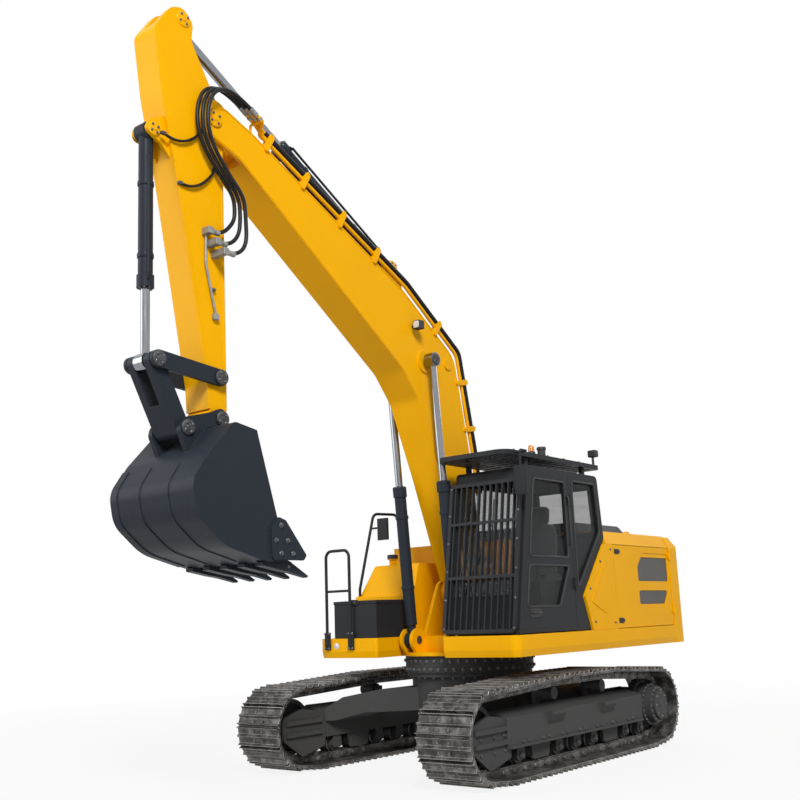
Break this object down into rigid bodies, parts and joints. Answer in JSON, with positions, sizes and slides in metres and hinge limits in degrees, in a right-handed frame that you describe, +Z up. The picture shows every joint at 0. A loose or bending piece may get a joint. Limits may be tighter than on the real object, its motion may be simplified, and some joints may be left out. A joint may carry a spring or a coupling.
{
  "type": "crawler excavator",
  "caption": "Hydraulic crawler excavator: tracked undercarriage, slewing upper with guarded cab and engine house, box boom and arm, digging bucket with linkage, all moved by cylinders.",
  "frame": {"origin": "on the slew axis at ground level, under the track shoes", "axes": "+X forward out of the cab, +Y to the machine's left, +Z up along the slew axis"},
  "size_m": [7.5905, 2.98, 7.1152],
  "materials": {
    "yellow_paint": "gloss",
    "dark_paint": "satin",
    "worn_steel": "worn",
    "chromed_rod": "polished",
    "pin_steel": "satin",
    "cab_glass": "clear",
    "black_paint": "satin",
    "bucket_paint": "satin",
    "seat_trim": "matte",
    "lamp_plastic": "gloss",
    "hose_rubber": "matte"
  },
  "bodies": {
    "undercarriage": {"track_left": "worn_steel", "track_right": "worn_steel", "running_gear_left": "dark_paint", "running_gear_right": "dark_paint", "track_frame_left": "dark_paint", "track_frame_right": "dark_paint", "carbody": "dark_paint", "slew_ring_lower": "dark_paint"},
    "upper": {"slew_ring_upper": "dark_paint", "deck": "yellow_paint", "upper_pins": "pin_steel", "counterweight": "yellow_paint", "house_left": "yellow_paint", "house_top": "yellow_paint", "engine": "dark_paint", "hydraulic_tank": "yellow_paint", "fuel_tank": "yellow_paint", "tool_box": "black_paint", "handrails": "black_paint", "mirrors": "black_paint", "cab_floor": "black_paint", "cab_roof": "black_paint", "cab_left": "black_paint", "cab_right": "black_paint", "cab_front": "black_paint", "cab_rear": "black_paint", "cab_glass": "cab_glass", "cab_seat": "seat_trim", "cab_controls": "seat_trim", "cab_lamps": "lamp_plastic", "front_guard": "black_paint", "roof_guard": "black_paint"},
    "cab_door": {"cab_door": "black_paint", "door_glass": "cab_glass"},
    "service_door": {"service_door": "yellow_paint", "service_grilles": "black_paint"},
    "pump_door": {"pump_door": "yellow_paint"},
    "hood": {"hood": "black_paint"},
    "tool_lid": {"tool_lid": "black_paint"},
    "boom": {"boom": "yellow_paint", "boom_pins": "pin_steel", "boom_pipes": "yellow_paint", "boom_lamp": "black_paint", "arm_hose_1": "hose_rubber", "arm_hose_2": "hose_rubber", "arm_hose_3": "hose_rubber"},
    "arm": {"arm": "yellow_paint", "arm_pins": "pin_steel", "arm_fittings": "pin_steel"},
    "bucket": {"bucket": "bucket_paint", "bucket_teeth": "bucket_paint", "bucket_pin": "pin_steel"},
    "boom_barrels": {"boom_barrels": "bucket_paint"},
    "boom_rods": {"boom_rods": "chromed_rod"},
    "arm_barrel": {"arm_barrel": "bucket_paint"},
    "arm_rod": {"arm_rod": "chromed_rod"},
    "bucket_barrel": {"bucket_barrel": "bucket_paint"},
    "bucket_rod": {"bucket_rod": "chromed_rod"},
    "rockers": {"rockers": "bucket_paint"},
    "bucket_link": {"bucket_link": "bucket_paint"}
  },
  "joints": [
    {"name": "slew", "type": "hinge", "parent": "undercarriage", "child": "upper", "pos_m": [0, 0, 1.01], "axis": [0, 0, 1], "continuous": true},
    {"name": "boom_lift", "type": "hinge", "parent": "upper", "child": "boom", "pos_m": [0.05, 0, 1.8], "axis": [0, -1, 0], "range_deg": [-95, 12]},
    {"name": "arm_swing", "type": "hinge", "parent": "boom", "child": "arm", "pos_m": [3.94, 0, 6.12], "axis": [0, 1, 0], "range_deg": [-96, 8], "deforming": ["arm_hose_1", "arm_hose_2", "arm_hose_3"]},
    {"name": "bucket_curl", "type": "hinge", "parent": "arm", "child": "bucket", "pos_m": [3.85, 0, 3.29], "axis": [0, 1, 0], "range_deg": [-68, 80]},
    {"name": "cab_door_hinge", "type": "hinge", "parent": "upper", "child": "cab_door", "pos_m": [-0.15, 1.346, 2.2], "axis": [0, 0, 1], "range_deg": [0, 150]},
    {"name": "service_door_hinge", "type": "hinge", "parent": "upper", "child": "service_door", "pos_m": [-2.528, 1.366, 1.86], "axis": [0, 0, 1], "range_deg": [0, 100]},
    {"name": "pump_door_hinge", "type": "hinge", "parent": "upper", "child": "pump_door", "pos_m": [-1.56, -1.366, 1.86], "axis": [0, 0, 1], "range_deg": [0, 100]},
    {"name": "hood_hinge", "type": "hinge", "parent": "upper", "child": "hood", "pos_m": [-0.978, 0.05, 2.4465], "axis": [0, 1, 0], "range_deg": [0, 60]},
    {"name": "tool_lid_hinge", "type": "hinge", "parent": "upper", "child": "tool_lid", "pos_m": [0.484, -0.77, 1.7005], "axis": [0, -1, 0], "range_deg": [0, 80]},
    {"name": "boom_barrel_turn", "type": "hinge", "parent": "upper", "child": "boom_barrels", "pos_m": [0.63, 0, 1.29], "axis": [0, -1, 0], "range_deg": [-96.4, 12.4]},
    {"name": "boom_rod_slide", "type": "slide", "parent": "boom_barrels", "child": "boom_rods", "axis": [0.082, 0, 0.9966], "range_m": [-1.138, 0.146]},
    {"name": "arm_barrel_turn", "type": "hinge", "parent": "boom", "child": "arm_barrel", "pos_m": [1.3, 0, 5.36], "axis": [0, -1, 0], "range_deg": [-0.8, 6.8]},
    {"name": "arm_rod_slide", "type": "slide", "parent": "arm_barrel", "child": "arm_rod", "axis": [0.8745, 0, 0.485], "range_m": [-1.402, 0.119]},
    {"name": "bucket_barrel_turn", "type": "hinge", "parent": "arm", "child": "bucket_barrel", "pos_m": [4.555, 0, 5.82], "axis": [0, -1, 0], "range_deg": [-1.6, 1.8]},
    {"name": "bucket_rod_slide", "type": "slide", "parent": "bucket_barrel", "child": "bucket_rod", "axis": [-0.0167, 0, -0.9999], "range_m": [-0.459, 0.539]},
    {"name": "rocker_turn", "type": "hinge", "parent": "arm", "child": "rockers", "pos_m": [3.85, 0, 3.665], "axis": [0, 1, 0], "range_deg": [-44.5, 52.3]},
    {"name": "link_turn", "type": "hinge", "parent": "bucket", "child": "bucket_link", "pos_m": [4.228, 0, 3.17], "axis": [0, 1, 0], "range_deg": [-55, 46.8]}
  ],
  "couplings": [
    {"joint": "boom_barrel_turn", "follows": "boom_lift", "ratio": 1.0126},
    {"joint": "boom_rod_slide", "follows": "boom_lift", "m_per_rad": 0.68497},
    {"joint": "arm_barrel_turn", "follows": "arm_swing", "ratio": -0.0684},
    {"joint": "arm_rod_slide", "follows": "arm_swing", "m_per_rad": 0.83519},
    {"joint": "bucket_barrel_turn", "follows": "bucket_curl", "ratio": 0.0192},
    {"joint": "bucket_rod_slide", "follows": "bucket_curl", "m_per_rad": 0.38434},
    {"joint": "rocker_turn", "follows": "bucket_curl", "ratio": 0.6506},
    {"joint": "link_turn", "follows": "bucket_curl", "ratio": -0.6846}
  ]
}
